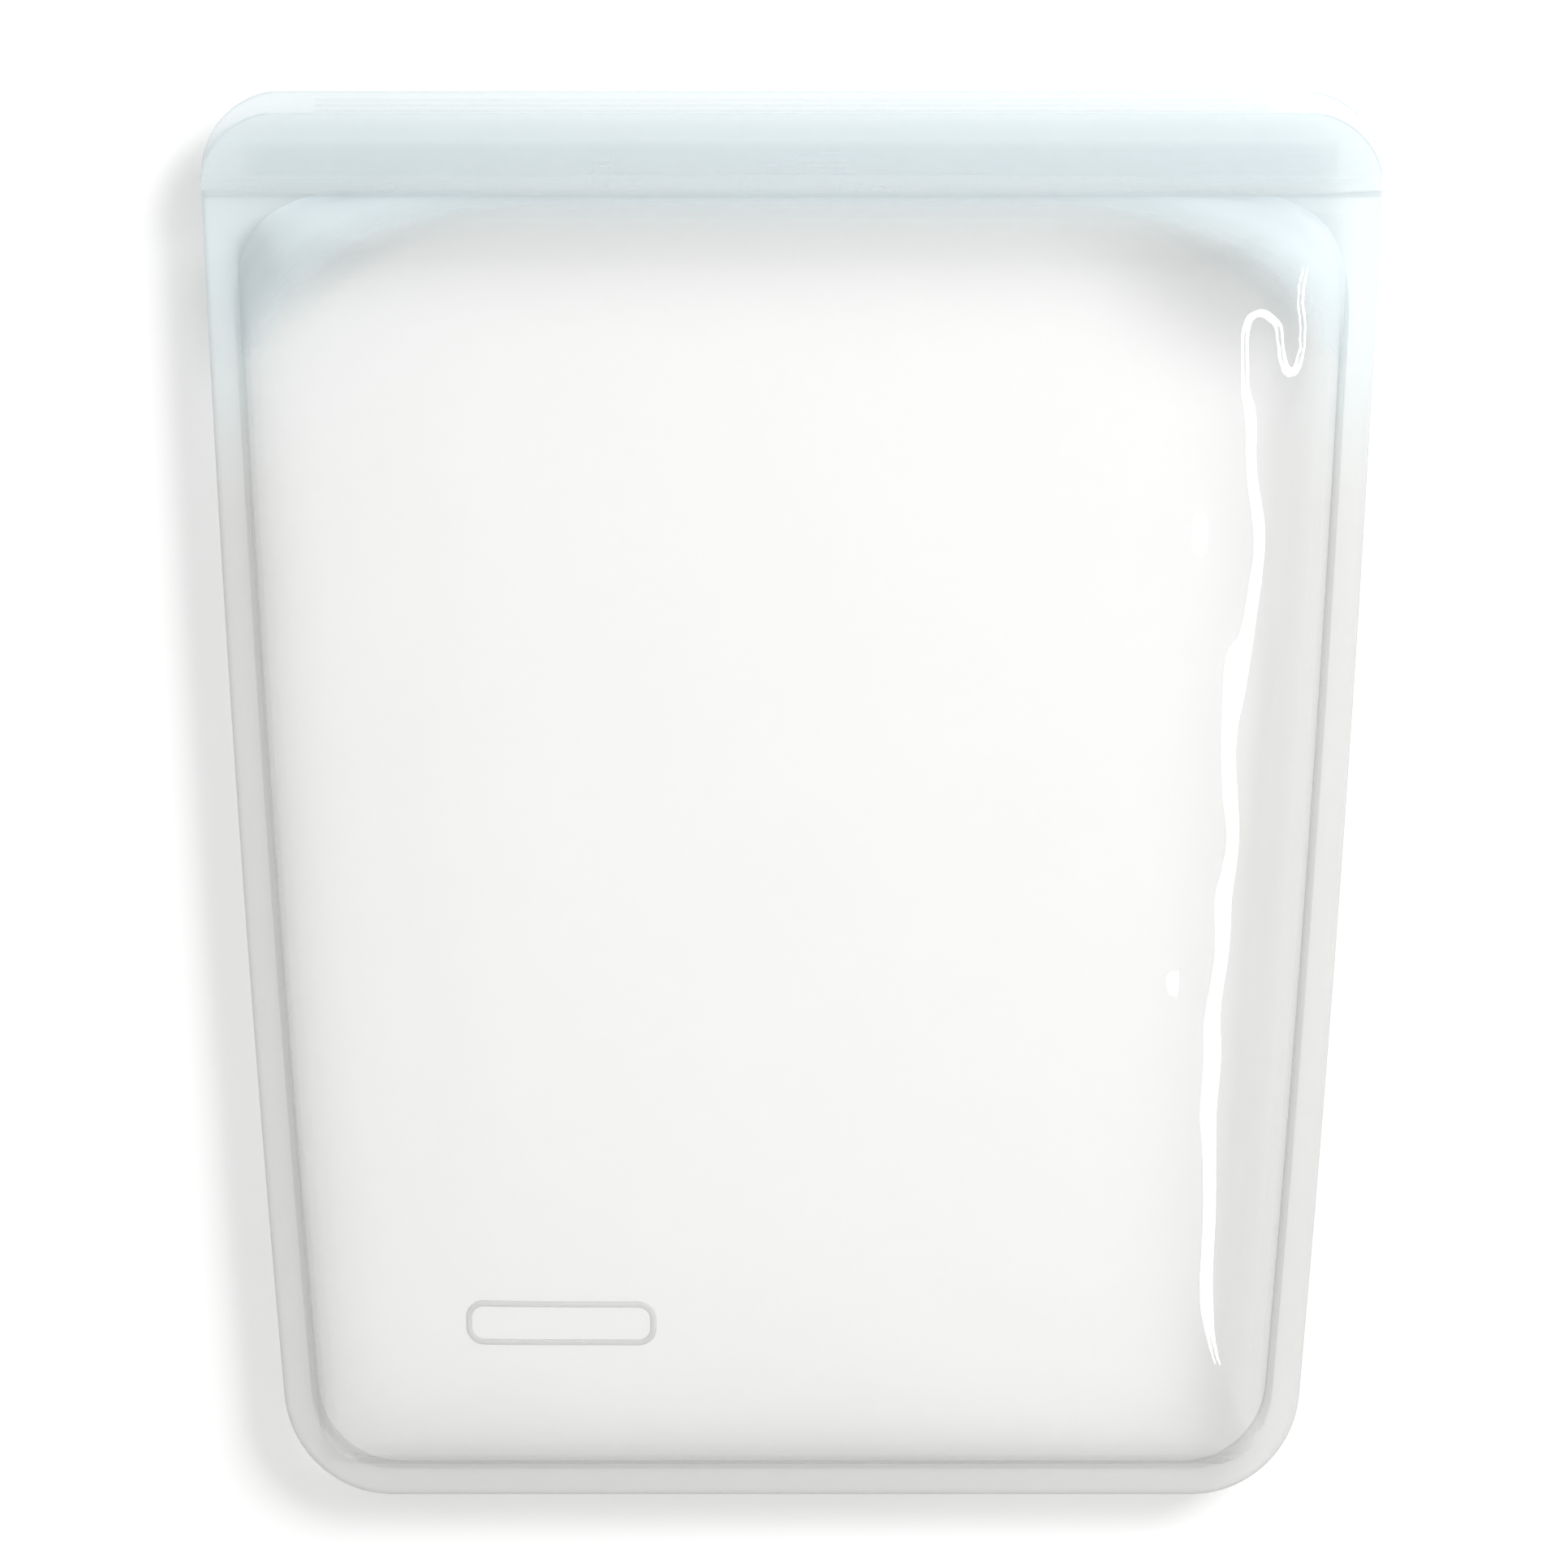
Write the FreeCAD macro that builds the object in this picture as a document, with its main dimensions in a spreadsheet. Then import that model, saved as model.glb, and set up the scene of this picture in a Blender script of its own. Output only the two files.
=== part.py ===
import FreeCAD, Part
import math
import os
import Sketcher

# A reusable food bag moulded in soft silicone, lying on its back and filled.
# Millimetres. X runs across the mouth, +Y towards the mouth, +Z up from the surface it lies on.
# The origin is under the middle of the bag. Two sheets are joined by a flat rim along the sides and
# the base. The mouth has a front lip and a longer back lip, closed by a tongue in a channel.
# The front of the mouth lifts about a line across the front sheet, at the throat's lower edge, and
# the back of the mouth peels down about its own lower edge.

DRIVING = {
    "bag_length": 250.2,  # base edge to the top edge of the back lip
    "station": 100.0,  # distance from the middle at which the two widths are taken
    "mouth_width": 209.7,  # across the bag one station above the middle
    "base_width": 182.1,  # across the bag one station below the middle
    "side_bow": 0.95,  # how far each side bulges past a straight line
    "mouth_corner": 14.5,
    "base_corner": 19.5,
    "rim_width": 4.6,
    "rim_thickness": 3.0,
    "rim_round": 1.1,
    "rim_height": 12.0,  # middle of the rim above the surface
    "seam_gap": 0.2,  # between neighbouring pieces
    "wall_thickness": 1.2,
    "window_top": 107.0,  # where the two sheets end and the lips begin
    "window_base": -120.6,
    "window_mouth_corner": 20.0,
    "window_base_corner": 15.0,
    "corner_growth": 0.25,  # how much rounder the corners get towards the crown, per mm inward
    "front_depth": 28.0,  # crown of the front sheet above the rim's middle
    "front_reach": 46.0,  # distance in from the rim at which the front sheet levels off
    "front_fullness": 2.2,
    "back_reach": 26.0,
    "back_fullness": 2.0,
    "throat_base": 78.0,  # lower edge of the part of the front sheet that lifts with its lip
    "web_base": 86.0,  # lower edge of the two corner webs
    "corner_base": -98.0,  # where each side rim meets a corner of the base
    "corner_side": 66.0,  # where the base rim meets the same corner
    "lip_thickness": 1.3,
    "lip_gap": 1.8,  # clear height between the two lips
    "lip_round": 0.5,
    "lip_base": 107.2,
    "front_lip_base": 117.0,  # the front seal band ends and its free lip begins
    "front_lip_top": 120.7,
    "front_lip_corner": 13.4,
    "back_lip_base": 120.7,
    "seal_line": 112.8,  # middle of the tongue and of its channel
    "seal_length": 188.0,
    "tongue_width": 1.6,
    "tongue_height": 1.5,
    "ridge_width": 1.2,
    "ridge_height": 1.5,
    "channel_width": 3.0,  # wide enough for the ridges to swing past the tongue
    "seal_round": 0.35,
    "stop_length": 3.0,
    "grip_length": 170.0,
    "grip_pitch": 0.9,
    "grip_radius": 0.28,
    "grip_first": 121.6,
    "label_length": 33.0,
    "label_width": 8.0,
    "label_line": 1.1,  # width of the raised line of its frame
    "label_height": 0.4,
    "label_across": -39.9,
    "label_along": -91.7,
}
GRIP_RIBS = 3
WALL_SECTIONS = 6
BOX_REACH = 400.0  # side of the boxes that cut the forms, larger than the bag
UP = FreeCAD.Vector(0, 0, 1)

doc = FreeCAD.newDocument("silicone_bag")


def fill_sheet():
    """Puts the driving sizes in a sheet, with the circle that each side of the bag is an arc of."""
    half_top, half_base = DRIVING["mouth_width"] / 2, DRIVING["base_width"] / 2
    rise = 2 * DRIVING["station"]
    chord = math.hypot(half_top - half_base, rise)
    bow = DRIVING["side_bow"]
    radius = chord ** 2 / (8 * bow) + bow / 2
    inward, upward = rise / chord, (half_top - half_base) / chord
    values = dict(DRIVING)
    values["side_radius"] = radius
    values["side_centre_across"] = (radius - bow) * inward - (half_top + half_base) / 2
    values["side_centre_along"] = (radius - bow) * upward
    made = doc.addObject("Spreadsheet::Sheet", "Sizes")
    for row, (name, value) in enumerate(values.items(), start=1):
        made.set(f"A{row}", name)
        made.set(f"B{row}", repr(round(value, 6)))
        made.setAlias(f"B{row}", name)
    doc.recompute()
    return made


sheet = fill_sheet()


def size(text):
    """The number that an expression on the sheet comes to."""
    found = sheet.evalExpression(text)
    return float(getattr(found, "Value", found))


def bind(obj, **expressions):
    """Binds properties to expressions. A double underscore in a name stands for a dot."""
    for name, text in expressions.items():
        obj.setExpression(name.replace("__", "."), text)


def arc(centre, radius, start, end):
    """An arc in a sketch, anticlockwise between two angles."""
    return Part.ArcOfCircle(Part.Circle(centre, UP, radius), start, end)


def hold(sketch, kind, text, *places):
    """Adds a constraint whose size is an expression."""
    index = sketch.addConstraint(Sketcher.Constraint(kind, *places, size(text)))
    sketch.setExpression(f"Constraints[{index}]", text)


def tangent_outline(top, base, top_corner, base_corner, inset):
    """Arcs and lines of a closed outline with bowed sides, counter-clockwise from the right side."""
    side_radius = size("Sizes.side_radius") - inset
    centre_across, centre_along = size("Sizes.side_centre_across"), size("Sizes.side_centre_along")

    def corner_centre(y, radius):
        across = math.sqrt((side_radius - radius) ** 2 - (y - centre_along) ** 2) - centre_across
        return FreeCAD.Vector(across, y, 0)

    def turn(centre):
        return math.atan2(centre.y - centre_along, centre.x + centre_across)

    def mirrored(point):
        return FreeCAD.Vector(-point.x, point.y, 0)

    upper = corner_centre(top - top_corner, top_corner)
    lower = corner_centre(base + base_corner, base_corner)
    right = FreeCAD.Vector(-centre_across, centre_along, 0)
    high, low, quarter = turn(upper), turn(lower), math.pi / 2
    return [
        arc(right, side_radius, low, high),
        arc(upper, top_corner, high, quarter),
        Part.LineSegment(FreeCAD.Vector(upper.x, top, 0), FreeCAD.Vector(-upper.x, top, 0)),
        arc(mirrored(upper), top_corner, quarter, math.pi - high),
        arc(mirrored(right), side_radius, math.pi - high, math.pi - low),
        arc(mirrored(lower), base_corner, math.pi - low, 3 * quarter),
        Part.LineSegment(FreeCAD.Vector(-lower.x, base, 0), FreeCAD.Vector(lower.x, base, 0)),
        arc(mirrored(mirrored(lower)), base_corner, 3 * quarter, 4 * quarter + low),
    ]


def add_outline(sketch, top, base, top_corner, base_corner, inset="0"):
    """Draws the bag's outline in a sketch, held by constraints. The five sizes are expressions."""
    first = sketch.GeometryCount
    numbers = [size(text) for text in (top, base, top_corner, base_corner, inset)]
    sketch.addGeometry(tangent_outline(*numbers), False)
    right, upper_right, over, upper_left, left, lower_left, under, lower_right = range(first, first + 8)
    loop = [right, upper_right, over, upper_left, left, lower_left, under, lower_right]
    for edge, following in zip(loop, loop[1:] + loop[:1]):
        sketch.addConstraint(Sketcher.Constraint("Tangent", edge, 2, following, 1))

    for corner, radius in (
        (upper_right, top_corner),
        (upper_left, top_corner),
        (lower_right, base_corner),
        (lower_left, base_corner),
    ):
        hold(sketch, "Radius", radius, corner)
    for edge, across in ((right, "-Sizes.side_centre_across"), (left, "Sizes.side_centre_across")):
        hold(sketch, "Radius", f"Sizes.side_radius - ({inset})", edge)
        hold(sketch, "DistanceX", across, -1, 1, edge, 3)
        hold(sketch, "DistanceY", "Sizes.side_centre_along", -1, 1, edge, 3)
    for edge, height in ((over, top), (under, base)):
        sketch.addConstraint(Sketcher.Constraint("Horizontal", edge))
        hold(sketch, "DistanceY", height, -1, 1, edge, 1)


def flat_sketch(name, height):
    """An empty sketch that lies level at a height given as an expression."""
    sketch = doc.addObject("Sketcher::SketchObject", name)
    bind(sketch, Placement__Base__z=height)
    return sketch


OUTER = ("Sizes.bag_length / 2", "-Sizes.bag_length / 2", "Sizes.mouth_corner", "Sizes.base_corner")


def window_outline(inset):
    """The sheets' outline, moved in by an expression and rounder the further in it is."""
    growth = f"Sizes.corner_growth * ({inset})"
    return (
        f"Sizes.window_top - ({inset})",
        f"Sizes.window_base + ({inset})",
        f"Sizes.window_mouth_corner + {growth}",
        f"Sizes.window_base_corner + {growth}",
        f"Sizes.rim_width + Sizes.seam_gap + ({inset})",
    )


def pillow_form(name, side, depth, reach, fullness, shrink):
    """A solid pillow half on one side of the rim: +1 is up and -1 is down. It is a loft through
    outlines that rise steeply at the rim and level off at the crown."""
    sections = []
    for step in range(WALL_SECTIONS):
        share = step / (WALL_SECTIONS - 1)
        inset = f"{shrink} + ({reach} - {shrink}) * {share}"
        rise = f"({depth} - {shrink}) * (1 - (1 - {share}) ^ {fullness})"
        height = f"Sizes.rim_height + {side} * (Sizes.seam_gap / 2 + {rise})"
        section = flat_sketch(f"{name}_section_{step}", height)
        add_outline(section, *window_outline(inset))
        sections.append(section)
    form = doc.addObject("Part::Loft", name)
    form.Sections = sections
    form.Solid = True
    form.Ruled = False
    return form


def cut(name, base, tool):
    made = doc.addObject("Part::Cut", name)
    made.Base, made.Tool = base, tool
    return made


def common(name, base, tool):
    made = doc.addObject("Part::Common", name)
    made.Base, made.Tool = base, tool
    return made


def cutting_box(name, left, right, low, high):
    """A tall box between two X and two Y planes, each an expression."""
    box = doc.addObject("Part::Box", name)
    bind(
        box,
        Length=f"({right}) - ({left})",
        Width=f"({high}) - ({low})",
        Height=f"{BOX_REACH}",
        Placement__Base__x=left,
        Placement__Base__y=low,
        Placement__Base__z=f"-{BOX_REACH} / 2",
    )
    return box


FRONT = ("Sizes.front_depth - Sizes.seam_gap / 2", "Sizes.front_reach", "Sizes.front_fullness")
BACK = ("Sizes.rim_height - Sizes.seam_gap / 2", "Sizes.back_reach", "Sizes.back_fullness")
FAR = f"{BOX_REACH} / 2"


def walls():
    """The back sheet, the front sheet and the throat, the part of the front sheet that lifts."""
    front_outside = pillow_form("front_outside", 1, *FRONT, "0")
    front_inside = pillow_form("front_inside", 1, *FRONT, "Sizes.wall_thickness")
    front_shell = cut("front_shell", front_outside, front_inside)
    back_shell = cut(
        "back_wall",
        pillow_form("back_outside", -1, *BACK, "0"),
        pillow_form("back_inside", -1, *BACK, "Sizes.wall_thickness"),
    )
    belly_side = cutting_box("belly_side", f"-{FAR}", FAR, f"-{FAR}", "Sizes.throat_base - Sizes.seam_gap")
    throat_side = cutting_box("throat_side", f"-{FAR}", FAR, "Sizes.throat_base", FAR)
    return {
        "back_wall": back_shell,
        "front_wall": common("front_wall", front_shell, belly_side),
        "front_throat": common("front_throat", front_shell, throat_side),
        "label_frame": label_frame(front_outside),
    }


def label_frame(front_outside):
    """A raised line round a blank panel, which follows the curve of the front sheet."""
    def panel(name, margin):
        length, width = f"Sizes.label_length - 2 * {margin}", f"Sizes.label_width - 2 * {margin}"
        block = cutting_box(
            name,
            f"Sizes.label_across - ({length}) / 2",
            f"Sizes.label_across + ({length}) / 2",
            f"Sizes.label_along - ({width}) / 2",
            f"Sizes.label_along + ({width}) / 2",
        )
        doc.recompute()
        rounded = doc.addObject("Part::Fillet", f"{name}_rounded")
        rounded.Base = block
        radius = size(f"({width}) * 0.35")
        rounded.Edges = [
            (index, radius, radius)
            for index, edge in enumerate(block.Shape.Edges, start=1)
            if edge.BoundBox.ZLength > 1
        ]
        return rounded

    raised_form = pillow_form("raised_form", 1, *FRONT, "-Sizes.label_height")
    skin = cut("raised_skin", raised_form, front_outside)
    ring = cut("label_ring", panel("label_outside", "0"), panel("label_inside", "Sizes.label_line"))
    above = doc.addObject("Part::Box", "above_rim")
    bind(
        above,
        Length=f"{BOX_REACH}",
        Width=f"{BOX_REACH}",
        Height=f"{BOX_REACH}",
        Placement__Base__x=f"-{FAR}",
        Placement__Base__y=f"-{FAR}",
        Placement__Base__z="Sizes.rim_height + Sizes.rim_thickness",
    )
    return common("label_frame", common("label_skin", skin, ring), above)


def rims():
    """The flat rim that joins the sheets: base, two base corners, two sides and two corner webs."""
    plan = flat_sketch("rim_plan", "Sizes.rim_height - Sizes.rim_thickness / 2")
    add_outline(plan, *OUTER)
    add_outline(plan, *window_outline("-Sizes.seam_gap"))
    ring = doc.addObject("Part::Extrusion", "rim_ring")
    ring.Base = plan
    ring.DirMode = "Normal"
    ring.Solid = True
    ring.FaceMakerClass = "Part::FaceMakerBullseye"
    bind(ring, LengthFwd="Sizes.rim_thickness")
    doc.recompute()
    rounded = doc.addObject("Part::Fillet", "rim_rounded")
    rounded.Base = ring
    radius = size("Sizes.rim_round")
    rounded.Edges = [(index, radius, radius) for index in outer_level_edges(ring.Shape)]
    gap, corner, web = "Sizes.seam_gap", "Sizes.corner_side", "Sizes.web_base"
    pieces = {}
    spans = {"base_rim": (f"{gap} - {corner}", f"{corner} - {gap}", f"-{FAR}", "Sizes.corner_base")}
    for side, across in (("left", (f"-{FAR}", "0")), ("right", ("0", FAR))):
        corner_across = (f"-{FAR}", f"-{corner}") if side == "left" else (corner, FAR)
        spans[f"{side}_base_corner"] = (*corner_across, f"-{FAR}", f"Sizes.corner_base - {gap}")
        spans[f"{side}_side_rim"] = (*across, "Sizes.corner_base", f"{web} - {gap}")
        spans[f"{side}_corner_web"] = (*across, web, "Sizes.window_top")
    for name, span in spans.items():
        pieces[name] = common(name, rounded, cutting_box(f"{name}_span", *span))
    return pieces


def outer_level_edges(shape):
    """Numbers of the level edges round the outside of the rim's ring."""
    bottom = [face for face in shape.Faces if abs(face.normalAt(0, 0).z + 1) < 1e-6][0]
    top = [face for face in shape.Faces if abs(face.normalAt(0, 0).z - 1) < 1e-6][0]
    wanted = [edge for face in (bottom, top) for edge in face.OuterWire.Edges]
    return [
        index
        for index, edge in enumerate(shape.Edges, start=1)
        if any(edge.isSame(other) for other in wanted)
    ]


def new_body(name):
    return doc.addObject("PartDesign::Body", name)


def origin_plane(body, role):
    return [item for item in body.Origin.OriginFeatures if item.Role == role][0]


def body_sketch(body, name, role, offset=None):
    """A sketch on one of a body's own origin planes, moved off it by an expression."""
    sketch = body.newObject("Sketcher::SketchObject", name)
    sketch.AttachmentSupport = [(origin_plane(body, role), "")]
    sketch.MapMode = "FlatFace"
    if offset:
        bind(sketch, AttachmentOffset__Base__z=offset)
    return sketch


def pad(body, name, sketch, length):
    feature = body.newObject("PartDesign::Pad", name)
    feature.Profile = sketch
    bind(feature, Length=length)
    doc.recompute()
    body.Tip = feature
    return feature


LIP_HALF_ACROSS = "Sizes.mouth_width / 2 - 0.05"
BACK_LIP_TOP_FACE = "Sizes.rim_height - Sizes.lip_gap / 2"
FRONT_LIP_LOW_FACE = "Sizes.rim_height + Sizes.lip_gap / 2"


def lip_outline(sketch, top, corner):
    """A rectangle whose two upper corners are rounded, from the lips' lower edge to a top line."""
    low, high, radius = size("Sizes.lip_base"), size(top), size(corner)
    half = size(LIP_HALF_ACROSS)

    def point(x, y):
        return FreeCAD.Vector(x, y, 0)

    sketch.addGeometry(
        [
            Part.LineSegment(point(-half, low), point(half, low)),
            Part.LineSegment(point(half, low), point(half, high - radius)),
            arc(point(half - radius, high - radius), radius, 0, math.pi / 2),
            Part.LineSegment(point(half - radius, high), point(radius - half, high)),
            arc(point(radius - half, high - radius), radius, math.pi / 2, math.pi),
            Part.LineSegment(point(-half, high - radius), point(-half, low)),
        ],
        False,
    )
    base, right, right_corner, over, left_corner, left = range(6)
    for kind, first, second in (
        ("Coincident", base, right),
        ("Tangent", right, right_corner),
        ("Tangent", right_corner, over),
        ("Tangent", over, left_corner),
        ("Tangent", left_corner, left),
        ("Coincident", left, base),
    ):
        sketch.addConstraint(Sketcher.Constraint(kind, first, 2, second, 1))
    for kind, edge in (("Horizontal", base), ("Vertical", right), ("Vertical", left), ("Horizontal", over)):
        sketch.addConstraint(Sketcher.Constraint(kind, edge))
    hold(sketch, "Radius", corner, right_corner)
    hold(sketch, "Radius", corner, left_corner)
    hold(sketch, "DistanceX", LIP_HALF_ACROSS, -1, 1, base, 2)
    hold(sketch, "DistanceX", f"-({LIP_HALF_ACROSS})", -1, 1, base, 1)
    hold(sketch, "DistanceY", "Sizes.lip_base", -1, 1, base, 1)
    hold(sketch, "DistanceY", top, -1, 1, over, 1)


def lip_plate(name, height, top, corner):
    """One side of the mouth: a flat plate with soft edges, above a height given as an expression."""
    body = new_body(name)
    sketch = body_sketch(body, f"{name}_plan", "XY_Plane", height)
    lip_outline(sketch, top, corner)
    plate = pad(body, f"{name}_pad", sketch, "Sizes.lip_thickness")
    low = size("Sizes.lip_base")
    free_edges = [
        f"Edge{index}"
        for index, edge in enumerate(plate.Shape.Edges, start=1)
        if edge.BoundBox.ZLength < 1e-6 and edge.BoundBox.YMax > low + 1e-3
    ]
    fillet = body.newObject("PartDesign::Fillet", f"{name}_soft_edge")
    fillet.Base = (plate, free_edges)
    bind(fillet, Radius="Sizes.lip_round")
    body.Tip = fillet
    return body


def lips():
    """Each side of the mouth, parted into the band that carries the seal and the free lip."""
    back_height = f"{BACK_LIP_TOP_FACE} - Sizes.lip_thickness"
    plates = {
        "front": lip_plate("front_plate", FRONT_LIP_LOW_FACE, "Sizes.front_lip_top", "Sizes.front_lip_corner"),
        "back": lip_plate("back_plate", back_height, "Sizes.bag_length / 2", "Sizes.mouth_corner"),
    }
    pieces = {}
    for side, plate in plates.items():
        lip_base = f"Sizes.{side}_lip_base"
        for zone, low, high in (
            ("seal_band", "Sizes.lip_base", f"{lip_base} - Sizes.seam_gap"),
            ("lip", lip_base, FAR),
        ):
            name = f"{side}_{zone}"
            pieces[name] = common(name, plate, cutting_box(f"{name}_span", f"-{FAR}", FAR, low, high))
    return pieces


def seal_bar(name, width, height, centre, foot, side, length="Sizes.seal_length"):
    """A bar along the mouth with its two free edges rounded. side +1 stands up from its foot, -1 hangs."""
    bar = doc.addObject("Part::Box", f"{name}_bar")
    low = foot if side > 0 else f"{foot} - {height}"
    bind(
        bar,
        Length=length,
        Width=width,
        Height=height,
        Placement__Base__x=f"-({length}) / 2",
        Placement__Base__y=f"{centre} - {width} / 2",
        Placement__Base__z=low,
    )
    doc.recompute()
    free = bar.Shape.BoundBox.ZMax if side > 0 else bar.Shape.BoundBox.ZMin
    rounded = doc.addObject("Part::Fillet", name)
    rounded.Base = bar
    radius = size("Sizes.seal_round")
    rounded.Edges = [
        (index, radius, radius)
        for index, edge in enumerate(bar.Shape.Edges, start=1)
        if edge.BoundBox.XLength > 1 and abs(edge.BoundBox.ZMin - free) < 1e-6
    ]
    return rounded


def seal():
    """The tongue under the front lip, and on the back lip the channel's two ridges and end stops."""
    ridge_offset = "(Sizes.channel_width + Sizes.ridge_width) / 2"
    pieces = {
        "seal_tongue": seal_bar(
            "seal_tongue", "Sizes.tongue_width", "Sizes.tongue_height", "Sizes.seal_line", FRONT_LIP_LOW_FACE, -1
        )
    }
    for name, sign in (("seal_upper_ridge", "+"), ("seal_lower_ridge", "-")):
        pieces[name] = seal_bar(
            name,
            "Sizes.ridge_width",
            "Sizes.ridge_height",
            f"Sizes.seal_line {sign} {ridge_offset}",
            BACK_LIP_TOP_FACE,
            1,
        )
    for name, sign in (("left_seal_stop", -1), ("right_seal_stop", 1)):
        stop = doc.addObject("Part::Box", name)
        half = "Sizes.seal_length / 2"
        start = f"{half} + Sizes.seam_gap" if sign > 0 else f"-{half} - Sizes.seam_gap - Sizes.stop_length"
        bind(
            stop,
            Length="Sizes.stop_length",
            Width="Sizes.channel_width + 2 * Sizes.ridge_width",
            Height="Sizes.ridge_height",
            Placement__Base__x=start,
            Placement__Base__y="Sizes.seal_line - Sizes.channel_width / 2 - Sizes.ridge_width",
            Placement__Base__z=BACK_LIP_TOP_FACE,
        )
        pieces[name] = stop
    return pieces


def grip_ribs():
    """Fine half-round ribs along the part of the back lip that stands past the front lip."""
    profile = doc.addObject("Sketcher::SketchObject", "grip_profile")
    upright_across = FreeCAD.Rotation(FreeCAD.Vector(1, 1, 1), 120)  # sketch X along +Y, its Y along +Z
    profile.Placement = FreeCAD.Placement(FreeCAD.Vector(0, 0, 0), upright_across)
    bind(profile, Placement__Base__x="-Sizes.grip_length / 2")
    for rib in range(GRIP_RIBS):
        middle = f"Sizes.grip_first + {rib} * Sizes.grip_pitch"
        centre = FreeCAD.Vector(size(middle), size(BACK_LIP_TOP_FACE), 0)
        reach = FreeCAD.Vector(size("Sizes.grip_radius"), 0, 0)
        dome = profile.addGeometry(arc(centre, reach.x, 0, math.pi), False)
        foot = profile.addGeometry(Part.LineSegment(centre - reach, centre + reach), False)
        profile.addConstraint(Sketcher.Constraint("Coincident", dome, 2, foot, 1))
        profile.addConstraint(Sketcher.Constraint("Coincident", dome, 1, foot, 2))
        profile.addConstraint(Sketcher.Constraint("Horizontal", foot))
        profile.addConstraint(Sketcher.Constraint("PointOnObject", dome, 3, foot))
        hold(profile, "Radius", "Sizes.grip_radius", dome)
        hold(profile, "DistanceX", middle, -1, 1, dome, 3)
        hold(profile, "DistanceY", BACK_LIP_TOP_FACE, -1, 1, dome, 3)
    ribs = doc.addObject("Part::Extrusion", "grip_ribs")
    ribs.Base = profile
    ribs.DirMode = "Normal"
    ribs.Solid = True
    bind(ribs, LengthFwd="Sizes.grip_length")
    return {"grip_ribs": ribs}


def check_and_write(pieces):
    """Stops at a failed object or a bad shape, then writes one STEP file for each piece."""
    doc.recompute()
    failed = [item.Name for item in doc.Objects if {"Invalid", "Error"} & set(item.State)]
    if failed:
        raise RuntimeError(f"these objects failed to compute: {failed}")
    os.makedirs("parts", exist_ok=True)
    for name, piece in pieces.items():
        shape = piece.Shape
        if shape.isNull() or not shape.isValid() or not shape.Solids:
            raise RuntimeError(f"{name} has no valid solid")
        piece.Label = name
        shape.exportStep(os.path.join("parts", f"{name}.step"))
        print(f"{name}: {len(shape.Solids)} solid(s), {shape.Volume / 1000:.2f} cm3")


all_pieces = {}
for make in (walls, rims, lips, seal, grip_ribs):
    all_pieces.update(make())
check_and_write(all_pieces)
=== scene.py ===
import math

import bmesh
import bpy
import numpy as np
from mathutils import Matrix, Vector, noise


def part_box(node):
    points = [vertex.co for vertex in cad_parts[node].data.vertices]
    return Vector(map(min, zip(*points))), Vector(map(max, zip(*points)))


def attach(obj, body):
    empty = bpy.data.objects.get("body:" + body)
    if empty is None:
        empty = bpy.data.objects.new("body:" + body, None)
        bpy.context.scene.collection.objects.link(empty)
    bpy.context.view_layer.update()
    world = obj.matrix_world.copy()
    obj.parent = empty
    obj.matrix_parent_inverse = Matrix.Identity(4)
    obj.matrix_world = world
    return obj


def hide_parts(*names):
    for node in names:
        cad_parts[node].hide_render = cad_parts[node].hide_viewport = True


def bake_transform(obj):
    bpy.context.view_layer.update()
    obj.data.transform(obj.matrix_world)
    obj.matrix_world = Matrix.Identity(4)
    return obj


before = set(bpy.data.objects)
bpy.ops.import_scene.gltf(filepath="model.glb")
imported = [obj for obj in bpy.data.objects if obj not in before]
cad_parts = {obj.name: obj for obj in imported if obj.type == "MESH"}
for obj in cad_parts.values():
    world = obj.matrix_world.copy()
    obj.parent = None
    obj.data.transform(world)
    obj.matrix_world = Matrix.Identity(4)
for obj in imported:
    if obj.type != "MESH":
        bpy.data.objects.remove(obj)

bl_info = {
    "name": "Silicone Food Bag",
    "version": (1, 0, 0),
    "blender": (4, 5, 0),
    "location": "View3D > Sidebar > Bag",
    "description": "Soft silicone food bag, swelled as when filled, lying on its back",
    "category": "Add Mesh",
}

MM = 0.001
RIM_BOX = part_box("left_side_rim")
BELLY_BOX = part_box("front_wall")
THROAT_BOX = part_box("front_throat")
FRONT_LIP_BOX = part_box("front_lip")
FRONT_BAND_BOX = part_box("front_seal_band")
BACK_LIP_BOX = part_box("back_lip")
BACK_BAND_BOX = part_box("back_seal_band")
TONGUE_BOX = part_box("seal_tongue")
LABEL_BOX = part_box("label_frame")
RIM_HEIGHT = (RIM_BOX[0].z + RIM_BOX[1].z) / 2
CROWN = BELLY_BOX[1].z
WINDOW_BASE = BELLY_BOX[0].y
WINDOW_TOP = THROAT_BOX[1].y
BAND_ROOT = WINDOW_TOP - 0.9 * MM
HINGE_LINE = THROAT_BOX[0].y
RESTING_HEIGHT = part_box("back_wall")[0].z

# How milky the pieces of one even thickness are, from 0, clear, to 1, milky.
RIM_MILK = 1.0
LABEL_MILK = 0.9
TONGUE_MILK = 0.45
CHANNEL_MILK = 0.35
GRIP_RIB_MILK = 0.0
BACK_BAND_MILK = 0.60
BACK_STRIP_MILK = 0.74

# The milky corners of the sheets, across and along the bag, and the milky strip round their edge.
MILKY_ACROSS = 60 * MM
MILKY_ALONG = 34 * MM
MILKY_EDGE = 14 * MM

# Where the milky parts start to turn cool on the way to the mouth, and over what length.
COOL_FROM = 45 * MM
COOL_OVER = 50 * MM

# The lamps: where each stands, and its two sides.
KEY_PLACE, KEY_SIDES = (0.55, 0.38, 0.80), (0.42, 0.42)
STRIP_PLACE, STRIP_SIDES = (0.60, 0.03, 0.1175), (0.60, 0.032)
FLOOR_REACH = 2.0


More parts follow.
